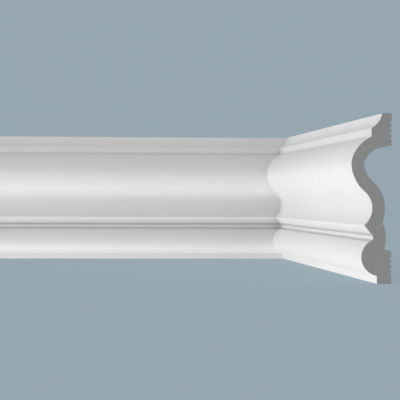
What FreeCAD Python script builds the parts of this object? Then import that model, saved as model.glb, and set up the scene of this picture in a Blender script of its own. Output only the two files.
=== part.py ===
import FreeCAD, Part
import os
import re
import Sketcher
from FreeCAD import Placement, Rotation, Vector
from math import atan2, cos, radians, sin, sqrt, tan

# A moulded wall rail that turns an inside corner: two lengths of one extruded section, each cut
# to half the corner's angle and butted along the mitre. The two walls meet in the Z axis and the
# rail's lower edge lies at Z = 0. The long length runs along the wall Y = 0 towards -X, and the
# return runs along the other wall towards -Y.

SIZES = {
    # runs of the rail, measured along its back
    "long_run": 2000,
    "return_run": 400,
    "corner_angle": 90,
    # members of the face from the lower edge up: the height of each and how far it stands out
    "nosing_height": 4.4,
    "nosing_depth": 7.8,
    "bead_height": 19.35,
    "bead_depth": 16.25,
    "lower_fillet_height": 2.0,
    "lower_fillet_depth": 9.95,
    "slope_height": 5.8,
    "cove_radius": 11.8,
    "cove_sweep": 51.23,
    "cove_depth": 10.4,
    "ogee_height": 23.65,
    "bulge_radius": 12.7,
    "bulge_depth": 21.8,
    "bulge_turn_down": 10,
    "bulge_turn_up": 25,
    "shoulder_height": 14.9,
    "upper_fillet_height": 4.8,
    "upper_fillet_depth": 10.9,
    "top_cove_height": 7.9,
    "top_cove_radius": 10.05,
    "top_ledge_depth": 5.3,
    "arris_rounding": 0.5,
    # the hollow back, between the two lands that are glued to the wall
    "web": 7.0,
    "roof_reach": 7.9,
    "roof_slope": 12,
    "waist_radius": 20,
    "crest_radius": 5,
    "lower_land_height": 18,
    "shelf_rounding": 1.0,
    # vee grooves that key the glue, the outermost one's middle at the margin from the rail's edge
    "groove_width": 1.6,
    "groove_cut": 0.9,
    "groove_pitch": 2.85,
    "groove_number": 4,
    "lower_groove_margin": 5.0,
    "upper_groove_margin": 5.1,
}

# The section's height is the sum of its members. The cove's lower part follows from its sweep.
BELOW_COVE = "nosing_height + bead_height + lower_fillet_height + slope_height"
COVE_DROP = "cove_radius * sin(cove_sweep)"
ABOVE_COVE = "ogee_height + shoulder_height + upper_fillet_height + top_cove_height"
SECTION_HEIGHT = f"{BELOW_COVE} + {COVE_DROP} + {ABOVE_COVE}"

# Points of a curve in a sketch, and the sketch's own axes and origin
START, FINISH, CENTRE = range(1, 4)
UPRIGHT_AXIS, LEVEL_AXIS = range(-2, 0)
ORIGIN = (LEVEL_AXIS, START)


def sheet_formula(words):
    """The formula with each size's name written as its cell in the sheet."""
    return re.sub("[a-z_]+", lambda word: f"Sizes.{word[0]}" if word[0] in SIZES else word[0], words)


def value(words):
    found = FreeCAD.ActiveDocument.Sizes.evalExpression(sheet_formula(words))
    return float(getattr(found, "Value", found))


def fill_sheet(doc):
    """The driving dimensions, each in its own cell with its name as the alias."""
    sheet = doc.addObject("Spreadsheet::Sheet", "Sizes")
    for row, (name, number) in enumerate(SIZES.items(), 1):
        sheet.set(f"A{row}", name)
        sheet.set(f"B{row}", str(number))
        sheet.setAlias(f"B{row}", name)
    doc.recompute()


def origin_feature(body, role):
    return next(f for f in body.Origin.OriginFeatures if f.Role == role)


def bind(thing, prop, words):
    thing.setExpression(prop, sheet_formula(words))


def polar(centre, radius, angle):
    return centre + Vector(cos(angle), sin(angle)) * radius


def towards(centre, other, distance):
    return centre + (other - centre).normalize() * distance


def left_meeting(centre_a, radius_a, centre_b, radius_b):
    """Where two circles cross, on the left of the way from the first centre to the second."""
    between = centre_b - centre_a
    along = (radius_a**2 - radius_b**2 + between.Length**2) / (2 * between.Length)
    aside = sqrt(radius_a**2 - along**2)
    ahead = between / between.Length
    return centre_a + ahead * along + Vector(-ahead.y, ahead.x) * aside


class Outline:
    """A closed outline in a sketch on one of a body's own planes, drawn end to end.

    The pen moves near to where the sizes will hold the curves. Each size is then bound to a
    formula of the sheet's cells.
    """

    def __init__(self, body, name, role, first):
        self.sketch = body.newObject("Sketcher::SketchObject", name)
        self.sketch.AttachmentSupport = (origin_feature(body, role), "")
        self.sketch.MapMode = "FlatFace"
        self.curves = {}
        self.pen = first

    def add(self, name, shape, ends, smooth):
        before = list(self.curves)[-1:]
        self.curves[name] = (self.sketch.addGeometry(shape, False), *ends)
        for last in before:
            self.join(last, name, smooth)

    def line(self, name, to, smooth=False):
        self.add(name, Part.LineSegment(self.pen, to), (START, FINISH), smooth)
        self.pen = to

    def arc(self, name, to, radius, clockwise=False, smooth=False):
        """The shorter arc of this radius from the pen to the next point."""
        chord = to - self.pen
        rise = sqrt(max(radius**2 - chord.Length**2 / 4, 0))
        left = Vector(-chord.y, chord.x) / chord.Length
        centre = (self.pen + to) / 2 + left * (-rise if clockwise else rise)
        turning = (to, self.pen) if clockwise else (self.pen, to)
        angles = [atan2(p.y - centre.y, p.x - centre.x) for p in turning]
        shape = Part.ArcOfCircle(Part.Circle(centre, Vector(0, 0, 1), radius), *angles)
        self.add(name, shape, (FINISH, START) if clockwise else (START, FINISH), smooth)
        self.pen = to

    def join(self, before, after, smooth=False):
        self.tie("Tangent" if smooth else "Coincident", self.end(before), self.start(after))

    def start(self, name):
        return self.curves[name][0], self.curves[name][1]

    def end(self, name):
        return self.curves[name][0], self.curves[name][2]

    def centre(self, name):
        return self.curves[name][0], CENTRE

    def whole(self, name):
        return (self.curves[name][0],)

    def tie(self, kind, *places):
        self.sketch.addConstraint(Sketcher.Constraint(kind, *sum(places, ())))

    def size(self, words, kind, *places):
        """A size bound to the sheet: across or up from one place to the next, or a radius."""
        if kind in ("DistanceX", "DistanceY") and len(places) == 1:
            places = (ORIGIN, *places)
        constraint = Sketcher.Constraint(kind, *sum(places, ()), value(words))
        number = self.sketch.addConstraint(constraint)
        bind(self.sketch, f"Constraints[{number}]", words)


def draw_section(body):
    """The die's outline: X out of the wall, Y up. It goes down the face and up the hollow back."""
    top = value(SECTION_HEIGHT)
    web = value("web")

    # Stations of the face, from the top down
    cove_foot = Vector(value("upper_fillet_depth"), top - value("top_cove_height"))
    shoulder = cove_foot - Vector(0, value("upper_fillet_height"))
    bulge_radius = value("bulge_radius")
    bulge = Vector(value("bulge_depth") - bulge_radius, shoulder.y - value("shoulder_height"))
    cove_radius = value("cove_radius")
    cove = Vector(value("cove_depth") + cove_radius, bulge.y - value("ogee_height"))
    arris = polar(cove, cove_radius, radians(180 + value("cove_sweep")))
    fillet_top = Vector(value("lower_fillet_depth"), arris.y - value("slope_height"))
    fillet_foot = fillet_top - Vector(0, value("lower_fillet_height"))
    nosing_top = Vector(value("nosing_depth"), value("nosing_height"))
    near_bead_radius = 0.52 * value("bead_height")

    # The flanks, tangent to the bulge's round nose: one up to the shoulder, one into the cove
    up = polar(Vector(), 1, radians(value("bulge_turn_up")))
    down = polar(Vector(), 1, -radians(value("bulge_turn_down")))
    nose_top = bulge + up * bulge_radius
    nose_foot = bulge + down * bulge_radius
    rise = nose_top - shoulder
    upper_radius = rise.dot(rise) / (2 * rise.dot(up))
    drop = nose_foot - cove
    lower_radius = (drop.dot(drop) - cove_radius**2) / (2 * (drop.dot(down) + cove_radius))
    upper = nose_top - up * upper_radius
    lower = nose_foot - down * lower_radius
    turn = towards(cove, lower, cove_radius)

    # Stations of the back
    shelf = value("lower_land_height")
    rounding = value("shelf_rounding")
    crest_radius = value("crest_radius")
    waist_radius = value("waist_radius")
    waist_level = "nosing_height + bead_height + lower_fillet_height / 2"
    waist_centre = "lower_fillet_depth - web + waist_radius"
    waist = Vector(value(waist_centre), value(waist_level))
    beside = waist_radius + rounding
    foot = Vector(waist.x - sqrt(beside**2 - (waist.y - shelf - rounding) ** 2), shelf + rounding)
    crest = left_meeting(
        waist, waist_radius + crest_radius, cove, cove_radius + web + crest_radius
    )
    inner_radius = upper_radius - web
    reach = value("roof_reach")
    roof_edge = Vector(reach, upper.y + sqrt(inner_radius**2 - (reach - upper.x) ** 2))
    roof_back = Vector(0, roof_edge.y + reach * tan(radians(value("roof_slope"))))

    out = Outline(body, f"{body.Name}_section", "YZ_Plane", Vector(0, top))
    out.line("ledge", Vector(value("top_ledge_depth"), top))
    out.arc("top_cove", cove_foot, value("top_cove_radius"))
    out.line("upper_fillet", shoulder)
    out.arc("upper_flank", nose_top, upper_radius, clockwise=True)
    out.arc("nose", nose_foot, bulge_radius, clockwise=True, smooth=True)
    out.arc("lower_flank", turn, lower_radius, clockwise=True, smooth=True)
    out.arc("cove", arris, cove_radius, smooth=True)
    out.line("slope", fillet_top)
    out.line("lower_fillet", fillet_foot)
    out.arc("bead", nosing_top, near_bead_radius, clockwise=True)
    out.line("nosing", Vector(nosing_top.x, 0))
    out.line("lower_edge", Vector())
    out.line("lower_land", Vector(0, shelf - rounding))
    out.arc("shelf_lip", Vector(rounding, shelf), rounding, clockwise=True, smooth=True)
    out.line("shelf", Vector(foot.x, shelf), smooth=True)
    out.arc("shelf_corner", towards(waist, foot, waist_radius), rounding, smooth=True)
    waist_top = towards(waist, crest, waist_radius)
    out.arc("waist", waist_top, waist_radius, clockwise=True, smooth=True)
    back_radius = cove_radius + web
    out.arc("crest", towards(cove, crest, back_radius), crest_radius, smooth=True)
    back_turn = towards(cove, lower, back_radius)
    out.arc("back_cove", back_turn, back_radius, clockwise=True, smooth=True)
    out.arc("back_lower_flank", nose_foot - down * web, lower_radius - web, smooth=True)
    out.arc("back_nose", nose_top - up * web, bulge_radius - web, smooth=True)
    out.arc("back_upper_flank", roof_edge, inner_radius, smooth=True)
    out.line("roof", roof_back)
    out.line("upper_land", Vector(0, top))
    out.join("upper_land", "ledge")

    for level in ("ledge", "lower_edge", "shelf"):
        out.tie("Horizontal", out.whole(level))
    for upright in ("upper_fillet", "lower_fillet", "nosing", "lower_land", "upper_land"):
        out.tie("Vertical", out.whole(upright))
    out.tie("Coincident", out.end("lower_edge"), ORIGIN)
    out.tie("PointOnObject", out.start("ledge"), (UPRIGHT_AXIS,))

    # The face's members, each up from the one below it
    out.size("nosing_height", "DistanceY", out.end("nosing"), out.start("nosing"))
    out.size("nosing_depth", "DistanceX", out.start("nosing"))
    out.size("bead_height", "DistanceY", out.end("bead"), out.start("bead"))
    out.size("lower_fillet_height", "DistanceY", out.end("lower_fillet"), out.start("lower_fillet"))
    out.size("lower_fillet_depth", "DistanceX", out.start("lower_fillet"))
    out.size("slope_height", "DistanceY", out.end("slope"), out.start("slope"))
    out.size(COVE_DROP, "DistanceY", out.end("cove"), out.centre("cove"))
    out.size("cove_radius", "Radius", out.whole("cove"))
    out.size("cove_depth + cove_radius", "DistanceX", out.centre("cove"))
    out.size("ogee_height", "DistanceY", out.centre("cove"), out.centre("nose"))
    out.size("bulge_radius", "Radius", out.whole("nose"))
    out.size("bulge_depth - bulge_radius", "DistanceX", out.centre("nose"))
    out.size(
        "bulge_radius * sin(bulge_turn_up)", "DistanceY", out.centre("nose"), out.start("nose")
    )
    out.size(
        "bulge_radius * sin(bulge_turn_down)", "DistanceY", out.end("nose"), out.centre("nose")
    )
    out.size("shoulder_height", "DistanceY", out.centre("nose"), out.end("upper_fillet"))
    out.size("upper_fillet_height", "DistanceY", out.end("upper_fillet"), out.start("upper_fillet"))
    out.size("upper_fillet_depth", "DistanceX", out.start("upper_fillet"))
    out.size("top_cove_height", "DistanceY", out.end("top_cove"), out.start("top_cove"))
    out.size("top_cove_radius", "Radius", out.whole("top_cove"))
    out.size("top_ledge_depth", "DistanceX", out.end("ledge"))

    # The bead touches an upright line at its full depth
    front = Part.LineSegment(
        Vector(value("bead_depth"), fillet_foot.y), Vector(value("bead_depth"), nosing_top.y)
    )
    out.curves["bead_front"] = (out.sketch.addGeometry(front, True), START, FINISH)
    out.tie("Vertical", out.whole("bead_front"))
    out.tie("Tangent", out.whole("bead_front"), out.whole("bead"))
    out.tie("Horizontal", out.start("bead_front"), out.start("bead"))
    out.tie("Horizontal", out.end("bead_front"), out.end("bead"))
    out.size("bead_depth", "DistanceX", out.start("bead_front"))

    # The back keeps one web's thickness behind the bulge and the cove, on the same centres
    for face in ("cove", "lower_flank", "nose", "upper_flank"):
        out.tie("Coincident", out.centre(f"back_{face}"), out.centre(face))
    out.size("cove_radius + web", "Radius", out.whole("back_cove"))
    out.size("crest_radius", "Radius", out.whole("crest"))
    out.size("waist_radius", "Radius", out.whole("waist"))
    out.size(waist_centre, "DistanceX", out.centre("waist"))
    out.size(waist_level, "DistanceY", out.centre("waist"))
    out.size("lower_land_height", "DistanceY", out.start("shelf"))
    out.size("shelf_rounding", "Radius", out.whole("shelf_lip"))
    out.size("shelf_rounding", "Radius", out.whole("shelf_corner"))
    out.size("roof_reach", "DistanceX", out.end("back_upper_flank"))
    out.size(
        "roof_reach * tan(roof_slope)", "DistanceY", out.end("back_upper_flank"), out.end("roof")
    )
    return out


def pad_length(body, section, run):
    pad = body.newObject("PartDesign::Pad", f"{body.Name}_pad")
    pad.Profile = section.sketch
    bind(pad, "Length", run)
    body.Document.recompute()
    return pad


def round_arrises(body, pad, section, arrises):
    """Takes the sharpness off the long edges that start at the named curves' ends."""
    corners = [section.sketch.getPoint(*section.end(name)) for name in arrises]
    stations = [Vector(0, corner.x, corner.y) for corner in corners]
    closeness = 0.01
    long_edges = []
    for number, edge in enumerate(pad.Shape.Edges, 1):
        near, far = sorted((vertex.Point for vertex in edge.Vertexes), key=lambda point: point.x)
        runs_along = far.x - near.x > closeness
        if runs_along and any(near.isEqual(station, closeness) for station in stations):
            long_edges.append(f"Edge{number}")
    assert len(long_edges) == len(arrises), long_edges
    rounding = body.newObject("PartDesign::Fillet", f"{body.Name}_arrises")
    rounding.Base = (pad, long_edges)
    bind(rounding, "Radius", "arris_rounding")
    return rounding


def cut_right_through(body, sketch, name):
    cut = body.newObject("PartDesign::Pocket", name)
    cut.Profile = sketch
    cut.Type = "ThroughAll"
    cut.Midplane = True
    return cut


def cut_glue_grooves(body, place, level, towards_middle):
    """A row of vee grooves along one land, from the rail's edge towards the middle."""
    half = value("groove_width") / 2
    middle = value(level)
    vee = Outline(body, f"{body.Name}_{place}_vee", "YZ_Plane", Vector(0, middle - half))
    vee.line("lower_side", Vector(value("groove_cut"), middle))
    vee.line("upper_side", Vector(0, middle + half))
    vee.line("mouth", Vector(0, middle - half))
    vee.join("mouth", "lower_side")
    vee.tie("PointOnObject", vee.start("mouth"), (UPRIGHT_AXIS,))
    vee.tie("PointOnObject", vee.end("mouth"), (UPRIGHT_AXIS,))
    vee.tie("Equal", vee.whole("lower_side"), vee.whole("upper_side"))
    vee.size("groove_width", "DistanceY", vee.end("mouth"), vee.start("mouth"))
    vee.size("groove_cut", "DistanceX", vee.end("lower_side"))
    vee.size(level, "DistanceY", vee.end("lower_side"))
    first = cut_right_through(body, vee.sketch, f"{body.Name}_{place}_groove")
    row = body.newObject("PartDesign::LinearPattern", f"{body.Name}_{place}_grooves")
    row.Originals = [first]
    row.Direction = (origin_feature(body, "Z_Axis"), [""])
    row.Reversed = not towards_middle
    bind(row, "Length", "groove_pitch * (groove_number - 1)")
    bind(row, "Occurrences", "groove_number")
    body.Tip = row
    return row


def cut_mitre(body, run, at_finish):
    """Cuts one end back from the wall line to half the corner's angle, by a right triangle."""
    reach = "2 * bulge_depth"
    slant = f"{reach} / tan(corner_angle / 2)"
    end_x = value(run) if at_finish else 0
    back = -value(slant) if at_finish else value(slant)
    triangle = Outline(body, f"{body.Name}_mitre_line", "XY_Plane", Vector(end_x, 0))
    triangle.line("slant", Vector(end_x + back, value(reach)))
    triangle.line("front", Vector(end_x, value(reach)))
    triangle.line("square_end", Vector(end_x, 0))
    triangle.join("square_end", "slant")
    triangle.tie("Horizontal", triangle.whole("front"))
    triangle.tie("Vertical", triangle.whole("square_end"))
    triangle.size(reach, "DistanceY", triangle.end("front"))
    tip, corner = triangle.start("front"), triangle.end("front")
    if at_finish:
        triangle.tie("PointOnObject", triangle.end("square_end"), (LEVEL_AXIS,))
        triangle.size(run, "DistanceX", corner)
        triangle.size(slant, "DistanceX", tip, corner)
    else:
        triangle.tie("Coincident", triangle.end("square_end"), ORIGIN)
        triangle.size(slant, "DistanceX", corner, tip)
    return cut_right_through(body, triangle.sketch, f"{body.Name}_mitre")


def make_length(doc, name, run, mitre_at_finish):
    """One length in its own frame: X along the back, Y out of the wall, Z up."""
    body = doc.addObject("PartDesign::Body", name)
    body.Label = name
    section = draw_section(body)
    features = [pad_length(body, section, run)]
    features.append(round_arrises(body, features[0], section, ["ledge", "cove", "nosing"]))
    upper_level = f"{SECTION_HEIGHT} - upper_groove_margin"
    features.append(cut_glue_grooves(body, "lower", "lower_groove_margin", True))
    features.append(cut_glue_grooves(body, "upper", upper_level, False))
    features.append(cut_mitre(body, run, mitre_at_finish))
    body.Tip = features[-1]
    doc.recompute()
    volumes = [feature.Shape.Volume for feature in features]
    assert volumes == sorted(volumes, reverse=True) and len(set(volumes)) == len(volumes), volumes
    return body


def main():
    doc = FreeCAD.newDocument("wall_moulding")
    fill_sheet(doc)

    # The long length is turned half round, so that its X runs away from the corner
    long_length = make_length(doc, "long_length", "long_run", mitre_at_finish=False)
    long_length.Placement = Placement(Vector(), Rotation(Vector(0, 0, 1), 180))

    # The return is turned by the corner's angle and ends at the corner
    return_length = make_length(doc, "return_length", "return_run", mitre_at_finish=True)
    bind(return_length, "Placement.Rotation.Angle", "corner_angle")
    bind(return_length, "Placement.Base.x", "-return_run * cos(corner_angle)")
    bind(return_length, "Placement.Base.y", "-return_run * sin(corner_angle)")
    doc.recompute()

    for thing in doc.Objects:
        assert "Invalid" not in thing.State and "Error" not in thing.State, thing.Name
    os.makedirs("parts", exist_ok=True)
    for body in (long_length, return_length):
        shape = body.Shape
        assert not shape.isNull() and shape.isValid() and len(shape.Solids) == 1, body.Label
        shape.exportStep(f"parts/{body.Label}.step")
        print(body.Label, round(shape.Volume), "mm3", shape.BoundBox)


main()
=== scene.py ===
from math import atan2, ceil, cos, pi, radians, remainder, sin

import bpy
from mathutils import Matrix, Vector


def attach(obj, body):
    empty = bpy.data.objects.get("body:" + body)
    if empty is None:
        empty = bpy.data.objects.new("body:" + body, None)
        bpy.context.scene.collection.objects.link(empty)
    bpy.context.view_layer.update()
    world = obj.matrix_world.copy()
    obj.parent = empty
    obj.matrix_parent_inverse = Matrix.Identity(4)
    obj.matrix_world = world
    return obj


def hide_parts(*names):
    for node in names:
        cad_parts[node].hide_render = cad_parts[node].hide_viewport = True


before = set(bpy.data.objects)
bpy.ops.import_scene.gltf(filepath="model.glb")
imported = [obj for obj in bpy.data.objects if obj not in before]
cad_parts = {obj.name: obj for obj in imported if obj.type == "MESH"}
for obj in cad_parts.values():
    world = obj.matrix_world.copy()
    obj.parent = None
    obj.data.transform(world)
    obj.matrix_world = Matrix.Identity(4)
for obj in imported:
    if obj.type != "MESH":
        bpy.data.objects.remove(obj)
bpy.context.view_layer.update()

# The long length: one section of dense foamed plastic, pushed through a die with its hollow back
# and its glue grooves, then primed white on the moulded face and the two edges. It is sawn
# square at the far end, and at 45 degrees where it meets the return.
MM = 0.001
UP = Vector((0, 0, 1))
LONG_RUN = 2.0
SECTION_HEIGHT = 92

# Places nearer to each other than this, in mm, are one place
TOUCHING = 0.01

# The section in mm, out from the wall and up from the lower edge. A straight member runs to a
# point, and a round one turns about a centre to a point.
MOULDED_FACE = [
    ("straight", (5.3, 92)),
    ("round", (15.285, 93.143), (10.9, 84.1)),
    ("straight", (10.9, 79.3)),
    ("round", (3.026, 61.568), (20.61, 69.77)),
    ("round", (9.1, 64.4), (21.607, 62.195)),
    ("round", (0.511, 65.914), (14.5, 49.69)),
    ("round", (22.2, 40.75), (14.81, 31.55)),
    ("straight", (9.95, 25.75)),
    ("straight", (9.95, 23.75)),
    ("round", (6.132, 14.38), (7.8, 4.4)),
    ("straight", (7.8, 0)),
]
HOLLOW_BACK = [
    ("straight", (0, 17)),
    ("round", (1, 17), (1, 18)),
    ("straight", (2.75, 18)),
    ("round", (2.75, 19), (3.71, 19.27)),
    ("round", (22.95, 24.75), (4.21, 31.75)),
    ("round", (-0.469, 33.5), (4.29, 35.02)),
    ("round", (22.2, 40.75), (9.93, 54.99)),
    ("round", (0.511, 65.914), (14.71, 63.41)),
    ("round", (9.1, 64.4), (14.27, 66.81)),
    ("round", (3.026, 61.568), (7.9, 72.97)),
    ("straight", (0, 74.65)),
]
LOWER_GROOVES = [5.0, 7.85, 10.7, 13.55]
UPPER_GROOVES = [78.35, 81.2, 84.05, 86.9]
GROOVE_WIDTH = 1.6
GROOVE_DEPTH = 0.9

# Corners that the die leaves: outer ones eased, and inner ones filled a little
EASED_ARRISES = [(5.3, 92), (10.9, 84.1), (14.81, 31.55), (7.8, 0)]
ARRIS_EASE = 0.45
INNER_CORNERS = [(10.9, 79.3), (9.95, 25.75), (9.95, 23.75), (7.8, 4.4)]
CORNER_FILL = 0.25

# A round member is made of chords that turn this much, and a sharper turn shows as an edge
CHORD_TURN = radians(3)
SHARP_TURN = radians(32)


def glue_grooves(levels):
    """Vee grooves up one land, with their points at these levels."""
    half = GROOVE_WIDTH / 2
    vees = []
    for level in levels:
        vees.append(("straight", (0, level - half)))
        vees.append(("straight", (GROOVE_DEPTH, level)))
        vees.append(("straight", (0, level + half)))
    return vees


SECTION = [
    *MOULDED_FACE,
    ("straight", (0, 0)),
    *glue_grooves(LOWER_GROOVES),
    *HOLLOW_BACK,
    *glue_grooves(UPPER_GROOVES),
    ("straight", (0, SECTION_HEIGHT)),
]


def draw_section(name, end, out):
    """The section's outline at a square end, drawn from the top back corner round to itself."""
    bpy.ops.object.select_all(action="DESELECT")
    pen = Vector((0, SECTION_HEIGHT))
    bpy.ops.mesh.primitive_plane_add(size=MM, location=end + UP * pen.y * MM)
    piece = bpy.context.object
    piece.name = piece.data.name = name
    bpy.ops.object.transform_apply()
    bpy.ops.object.mode_set(mode="EDIT")
    bpy.ops.mesh.select_mode(type="VERT")
    bpy.ops.mesh.merge(type="CENTER")
    for kind, *places in SECTION:
        to = Vector(places[-1])
        if kind == "straight":
            step = out * (to.x - pen.x) + UP * (to.y - pen.y)
            bpy.ops.mesh.extrude_region_move(TRANSFORM_OT_translate={"value": step * MM})
        else:
            centre = Vector(places[0])
            before, after = pen - centre, to - centre
            turn = remainder(atan2(before.y, before.x) - atan2(after.y, after.x), 2 * pi)
            bpy.ops.mesh.spin(
                steps=ceil(abs(turn) / CHORD_TURN),
                angle=turn,
                center=end + (out * centre.x + UP * centre.y) * MM,
                axis=out.cross(UP),
            )
        pen = to
    bpy.ops.mesh.select_all(action="SELECT")
    bpy.ops.mesh.remove_doubles(threshold=TOUCHING * MM)
    bpy.ops.mesh.edge_face_add()
    return piece


def ease(piece, out, corners, reach):
    """Rounds the long edges that stand at these corners of the section."""
    bpy.ops.mesh.select_all(action="DESELECT")
    bpy.ops.mesh.select_mode(type="EDGE")
    bpy.ops.object.mode_set(mode="OBJECT")

    def stands_at(number, corner):
        spot = piece.data.vertices[number].co
        away = Vector((spot.dot(out), spot.z)) / MM - Vector(corner)
        return away.length < TOUCHING

    for edge in piece.data.edges:
        edge.select = any(
            all(stands_at(number, corner) for number in edge.vertices) for corner in corners
        )
    bpy.ops.object.mode_set(mode="EDIT")
    bpy.ops.mesh.bevel(offset=reach * MM, segments=4)


def saw_to_mitre(keep_far_side):
    """Cuts the bar on the corner's bisector, from the wall line out."""
    bpy.ops.mesh.select_all(action="SELECT")
    bpy.ops.mesh.bisect(
        plane_co=(0, 0, 0),
        plane_no=(1, -1, 0),
        use_fill=True,
        clear_inner=keep_far_side,
        clear_outer=not keep_far_side,
    )


def make_bar(name, end, out, run, keep_far_side):
    """A length of the section from its square end to its mitre."""
    piece = draw_section(name, end, out)
    bpy.ops.mesh.extrude_region_move(TRANSFORM_OT_translate={"value": run})
    bpy.ops.mesh.select_all(action="SELECT")
    bpy.ops.mesh.normals_make_consistent(inside=False)
    ease(piece, out, EASED_ARRISES, ARRIS_EASE)
    ease(piece, out, INNER_CORNERS, CORNER_FILL)
    saw_to_mitre(keep_far_side)
    bpy.ops.object.mode_set(mode="OBJECT")
    bpy.ops.object.shade_smooth_by_angle(angle=SHARP_TURN)
    return piece


class Wire:
    """A socket of a finish's tree. Sums on it place their own nodes."""

    def __init__(self, tree, socket=None):
        self.tree = tree
        self.socket = socket

    def node(self, kind, settings=None, sockets=None, output=0):
        placed = self.tree.nodes.new(kind)
        for name, setting in (settings or {}).items():
            setattr(placed, name, setting)
        for name, given in (sockets or {}).items():
            if isinstance(given, Wire):
                self.tree.links.new(given.socket, placed.inputs[name])
            else:
                placed.inputs[name].default_value = given
        return Wire(self.tree, placed.outputs[output] if placed.outputs else None)

    def maths(self, operation, first, second):
        return self.node("ShaderNodeMath", {"operation": operation}, {0: first, 1: second})

    def __add__(self, other):
        return self.maths("ADD", self, other)

    def __sub__(self, other):
        return self.maths("SUBTRACT", self, other)

    def __rsub__(self, other):
        return self.maths("SUBTRACT", other, self)

    def __mul__(self, other):
        return self.maths("MULTIPLY", self, other)

    __radd__ = __add__
    __rmul__ = __mul__

    def between(self, low, high):
        """0 where the socket is at the low value and 1 where it is at the high one, eased."""
        return self.node(
            "ShaderNodeMapRange",
            {"interpolation_type": "SMOOTHSTEP"},
            {"Value": self, "From Min": low, "From Max": high},
        )

    def blend(self, first, second):
        """The first colour where the socket is 0 and the second where it is 1."""
        return self.node(
            "ShaderNodeMix", {"data_type": "RGBA"}, {0: self, 6: first, 7: second}, output=2
        )


def grey(level):
    return (level, level, level, 1)


def new_finish(name):
    """An empty material, and the wire that its nodes are placed from."""
    material = bpy.data.materials.new(name)
    material.use_nodes = True
    material.node_tree.nodes.clear()
    return material, Wire(material.node_tree)


def noise(place, scale, detail=2.0, roughness=0.5):
    """Cloudy noise, which is between 0.3 and 0.7 nearly everywhere."""
    return place.node(
        "ShaderNodeTexNoise",
        None,
        {"Vector": place, "Scale": scale, "Detail": detail, "Roughness": roughness},
    )


def cover(tree, colour, roughness, bumps, strength, depth, sheen=0.5):
    """Ends a finish in one shader with its relief, depth in metres."""
    normal = tree.node(
        "ShaderNodeBump", None, {"Strength": strength, "Distance": depth, "Height": bumps}
    )
    shader = tree.node(
        "ShaderNodeBsdfPrincipled",
        None,
        {
            "Base Color": colour,
            "Roughness": roughness,
            "Specular IOR Level": sheen,
            "Normal": normal,
        },
    )
    tree.node("ShaderNodeOutputMaterial", None, {"Surface": shader})


# How light the two colours are: the foam itself, and the primer over it
CORE = 0.36
PRIMER = 0.72

# Sawn core: grey, with closed cells opened by the blade
sawn_core, tree = new_finish("sawn_core")
place = tree.node("ShaderNodeTexCoord", output="Object")
cells = tree.node("ShaderNodeTexVoronoi", None, {"Vector": place, "Scale": 1300.0})
tone = noise(place, 260, detail=5, roughness=0.65)
cover(
    tree,
    tone.between(0.3, 0.7).blend(grey(CORE - 0.015), grey(CORE + 0.015)),
    0.82 + 0.1 * tone,
    cells,
    strength=0.5,
    depth=0.12 * MM,
    sheen=0.2,
)

# Primer: sprayed in one coat, so it has a fine orange peel and no brush marks. Beside the deep
# inner corners the colour is painted darker, towards the grey core, as painted shade in the
# creases.
# Each has its height and how far the painted shade reaches from it, in mm, and how much darker it
# is there.
PAINTED_CREASE_SHADE = [(79.6, 1.1, 0.25), (26.4, 1.1, 0.56), (23.25, 0.85, 0.62)]

white_primer, tree = new_finish("white_primer")
place = tree.node("ShaderNodeTexCoord", output="Object")
peel = noise(place, 900, detail=3)
cloud = noise(place, 14, detail=4)
height = tree.node("ShaderNodeSeparateXYZ", None, {0: place}, output=2) * (1 / MM)
# Painted shade: darker towards each deep inner corner, summed over the creases
crease_shade = 0.0
for level, reach, loss in PAINTED_CREASE_SHADE:
    off = height - level
    crease_shade = crease_shade + loss * (off * off).between(reach * reach, 0.0)
coat = cloud.between(0.3, 0.7).blend(grey(PRIMER - 0.01), grey(PRIMER + 0.01))
# Base colour: the primer, darkened towards the core grey by the painted crease shade
cover(
    tree,
    (crease_shade * (0.8 + 0.4 * cloud)).blend(coat, grey(CORE)),
    0.44 + 0.08 * noise(place, 120),
    peel,
    strength=0.5,
    depth=0.05 * MM,
)

# Back skin: a little darker than the core, with drawn lines from the die along the bar, so fine up
# the section and long along it. Primer has drifted round the two edges and fades off over the skin.
LINES_PER_METRE = (6.0, 6.0, 900.0)
SPRAY_REACH = 3.5 * MM
SPRAY_FADE = 8 * MM

back_skin, tree = new_finish("back_skin")
place = tree.node("ShaderNodeTexCoord", output="Object")
drawn = tree.node("ShaderNodeVectorMath", {"operation": "MULTIPLY"}, {0: place, 1: LINES_PER_METRE})
lines = noise(drawn, 1, detail=3)
height = tree.node("ShaderNodeSeparateXYZ", None, {0: place}, output=2)
drift = 6 * MM * noise(place, 60, detail=4)
overspray = 0.0
for from_edge in (height, SECTION_HEIGHT * MM - height):
    covered = (from_edge - drift).between(SPRAY_REACH, SPRAY_REACH - SPRAY_FADE)
    overspray = overspray + covered
bare = lines.between(0.3, 0.7).blend(grey(CORE - 0.05), grey(CORE))
cover(
    tree,
    (0.85 * overspray).blend(bare, grey(PRIMER)),
    0.6 + 0.15 * lines,
    lines,
    strength=0.4,
    depth=0.06 * MM,
    sheen=0.3,
)


def finish_faces(piece, finish, wanted):
    """Gives the piece one more finish, on the faces that are wanted."""
    piece.data.materials.append(finish)
    piece.active_material_index = len(piece.data.materials) - 1
    bpy.ops.object.mode_set(mode="EDIT")
    bpy.ops.mesh.select_mode(type="FACE")
    bpy.ops.mesh.select_all(action="DESELECT")
    bpy.ops.object.mode_set(mode="OBJECT")
    for face in piece.data.polygons:
        face.select = wanted(face)
    bpy.ops.object.mode_set(mode="EDIT")
    bpy.ops.object.material_slot_assign()
    bpy.ops.object.mode_set(mode="OBJECT")


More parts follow.
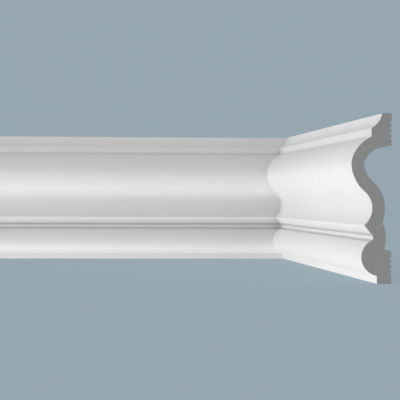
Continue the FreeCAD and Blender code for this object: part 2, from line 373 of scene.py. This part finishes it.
def finish_bar(piece, out, run, node):
    """Primer on the face and edges, bare skin behind and sawn core on the two ends.

    The level ledges of the hollow are behind too, and the lower and top edges aren't.
    """
    along = run.normalized()

    def behind(face):
        level = face.center.z / MM
        on_an_edge = min(level, SECTION_HEIGHT - level) < TOUCHING
        return face.normal.dot(out) < 0.01 and not on_an_edge

    def sawn(face):
        return abs(face.normal.dot(along)) > 0.1

    bpy.ops.object.select_all(action="DESELECT")
    piece.select_set(True)
    bpy.context.view_layer.objects.active = piece
    finish_faces(piece, white_primer, lambda face: True)
    finish_faces(piece, back_skin, behind)
    finish_faces(piece, sawn_core, sawn)
    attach(piece, "root")
    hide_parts(node)


long_run = Vector((LONG_RUN, 0, 0))
long_out = Vector((0, -1, 0))
long_length = make_bar("long_length_primed", -long_run, long_out, long_run, keep_far_side=False)
finish_bar(long_length, long_out, long_run, "long_length")

# The return: a short bar of the same section, which comes away from the corner along the other
# wall. Its mitre is cut the other way and glued to the long length's, and its near end is sawn
# square, so the core and the hollow back show there.
RETURN_RUN = 0.4
return_run = Vector((0, RETURN_RUN, 0))
return_out = Vector((-1, 0, 0))
return_length = make_bar("return_length_primed", -return_run, return_out, return_run, True)
finish_bar(return_length, return_out, return_run, "return_length")

# The studio: a pale blue-grey table that runs out to a sky of the same tone, and glows a little of
# its own so that no edge shows. Only the camera sees the table, so the sky and the lower softboxes
# light the rail from beneath it too. The lens is long, and level with the middle of the rail.
BACKDROP = (0.305, 0.386, 0.440, 1)

table_top, tree = new_finish("table_top")
place = tree.node("ShaderNodeTexCoord", output="Object")
mottle = noise(place, 3, detail=4).between(0.2, 0.8)
shader = tree.node(
    "ShaderNodeBsdfPrincipled",
    None,
    {
        "Base Color": mottle.blend((0.105, 0.134, 0.153, 1), (0.110, 0.139, 0.158, 1)),
        "Roughness": 0.9,
        "Specular IOR Level": 0.0,
        "Emission Color": mottle.blend((0.242, 0.307, 0.350, 1), (0.246, 0.311, 0.354, 1)),
        "Emission Strength": 1.0,
    },
)
tree.node("ShaderNodeOutputMaterial", None, {"Surface": shader})
bpy.ops.object.select_all(action="DESELECT")
bpy.ops.mesh.primitive_plane_add(size=60)
floor = bpy.context.object
floor.name = "floor"
floor.data.materials.append(table_top)
floor.visible_diffuse = floor.visible_glossy = floor.visible_shadow = False

sky = bpy.data.worlds.new("studio_sky")
sky.use_nodes = True
sky.node_tree.nodes.clear()
tree = Wire(sky.node_tree)
seen = tree.node("ShaderNodeBackground", None, {"Color": BACKDROP, "Strength": 1.0})
glow = tree.node("ShaderNodeBackground", None, {"Color": grey(1.0), "Strength": 0.484})
from_camera = tree.node("ShaderNodeLightPath", output="Is Camera Ray")
either = tree.node("ShaderNodeMixShader", None, {0: from_camera, 1: glow, 2: seen})
tree.node("ShaderNodeOutputWorld", None, {"Surface": either})
bpy.context.scene.world = sky
bpy.context.scene.view_settings.view_transform = "Standard"


def distant_softbox(name, around, up, spread, strength):
    """A wide softbox far off, with its place and its spread in degrees.

    Around turns it to the right from straight in front, and up raises it from level.
    """
    turn, rise = radians(around), radians(up)
    towards = Vector((sin(turn) * cos(rise), -cos(turn) * cos(rise), sin(rise)))
    bpy.ops.object.light_add(type="SUN", location=towards * 3)
    lamp = bpy.context.object
    lamp.name = name
    lamp.rotation_euler = (-towards).to_track_quat("-Z", "Y").to_euler()
    lamp.data.angle = radians(spread)
    lamp.data.energy = strength


BY_THE_CORNER = Vector((-0.12, -0.08, 0.05))


def near_softbox(name, place, across, watts):
    """A round softbox close by, turned to the corner. Its light falls off along the rail.

    It is kept off the table, where it would show as a bright pool.
    """
    place = Vector(place)
    bpy.ops.object.light_add(type="AREA", location=place)
    lamp = bpy.context.object
    lamp.name = name
    lamp.rotation_euler = (BY_THE_CORNER - place).to_track_quat("-Z", "Y").to_euler()
    lamp.data.shape = "DISK"
    lamp.data.size = across
    lamp.data.energy = watts
    lamp.visible_camera = False
    floor.select_set(True)
    bpy.ops.object.light_linking_receivers_link(link_state="EXCLUDE")


distant_softbox("beneath", 0, -75, 25, 0.359)
distant_softbox("beneath_left", -70, -75, 25, 0.816)
distant_softbox("along_wall", -90, -10, 10, 0.870)
distant_softbox("side_high", -100, 30, 25, 0.412)
distant_softbox("front_right", 25, 30, 25, 0.237)
near_softbox("beside_left", (-0.4, -0.45, 0.05), 0.2, 0.535)
near_softbox("under_front", (-0.3, -0.3, -0.4), 0.2, 0.312)

# The camera's place, turn and lens were found from where the two lengths' edges are in the picture
bpy.ops.object.camera_add(
    location=(-0.17977, -1.32813, 0.04607), rotation=(pi / 2 - 0.00124, -0.0033, -0.08204)
)
camera = bpy.context.object
camera.data.lens = 157.0
camera.data.sensor_width = 36
bpy.context.scene.camera = camera
